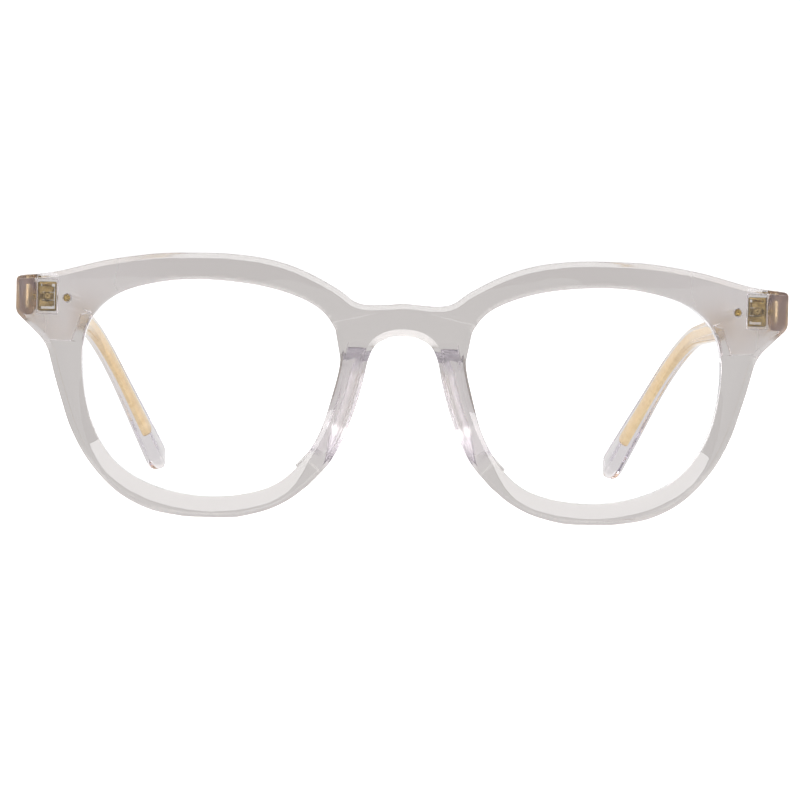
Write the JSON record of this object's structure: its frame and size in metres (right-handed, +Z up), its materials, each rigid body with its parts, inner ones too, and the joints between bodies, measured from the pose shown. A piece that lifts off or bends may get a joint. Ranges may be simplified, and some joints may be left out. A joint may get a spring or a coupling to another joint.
{
  "type": "blue light glasses",
  "caption": "Full-rim crystal acetate blue light glasses with plano lenses, bonded nose pads and folding temples stiffened by flat gold core wires.",
  "frame": {"origin": "centre of the bounding box on the surface that the open glasses stand on", "axes": "+X to the wearer's left, +Y back along the temples from the front, +Z up"},
  "size_m": [0.1418, 0.138, 0.0481],
  "materials": {
    "crystal_acetate": "polished transparent acetate with a faint grey tint",
    "pad_acetate": "polished transparent acetate",
    "lens_resin": "clear coated resin with a faint blue-violet reflection",
    "hinge_gold": "satin gold plating",
    "rivet_gold": "gold plating, slightly darker",
    "screw_gold": "turned and gold plated",
    "core_gold": "rolled pale gold strip"
  },
  "bodies": {
    "front": {"front_frame": "crystal_acetate", "lens_left": "lens_resin", "lens_right": "lens_resin", "nose_pad_left": "pad_acetate", "nose_pad_right": "pad_acetate", "front_hinge_leaf_left": "hinge_gold", "front_hinge_leaf_right": "hinge_gold", "front_rivet_left": "rivet_gold", "front_rivet_right": "rivet_gold", "hinge_screw_left": "screw_gold", "hinge_screw_right": "screw_gold"},
    "temple_arm_left": {"temple_left": "crystal_acetate", "core_wire_left": "core_gold", "temple_hinge_leaf_left": "hinge_gold", "temple_rivet_front_left": "rivet_gold", "temple_rivet_rear_left": "rivet_gold"},
    "temple_arm_right": {"temple_right": "crystal_acetate", "core_wire_right": "core_gold", "temple_hinge_leaf_right": "hinge_gold", "temple_rivet_front_right": "rivet_gold", "temple_rivet_rear_right": "rivet_gold"}
  },
  "joints": [
    {"name": "fold_left", "type": "hinge", "parent": "front", "child": "temple_arm_left", "pos_m": [0.065, -0.0555, 0.0395], "axis": [0, 0, 1], "range_deg": [0, 84]},
    {"name": "fold_right", "type": "hinge", "parent": "front", "child": "temple_arm_right", "pos_m": [-0.065, -0.0555, 0.0395], "axis": [0, 0, -1], "range_deg": [0, 77]}
  ]
}
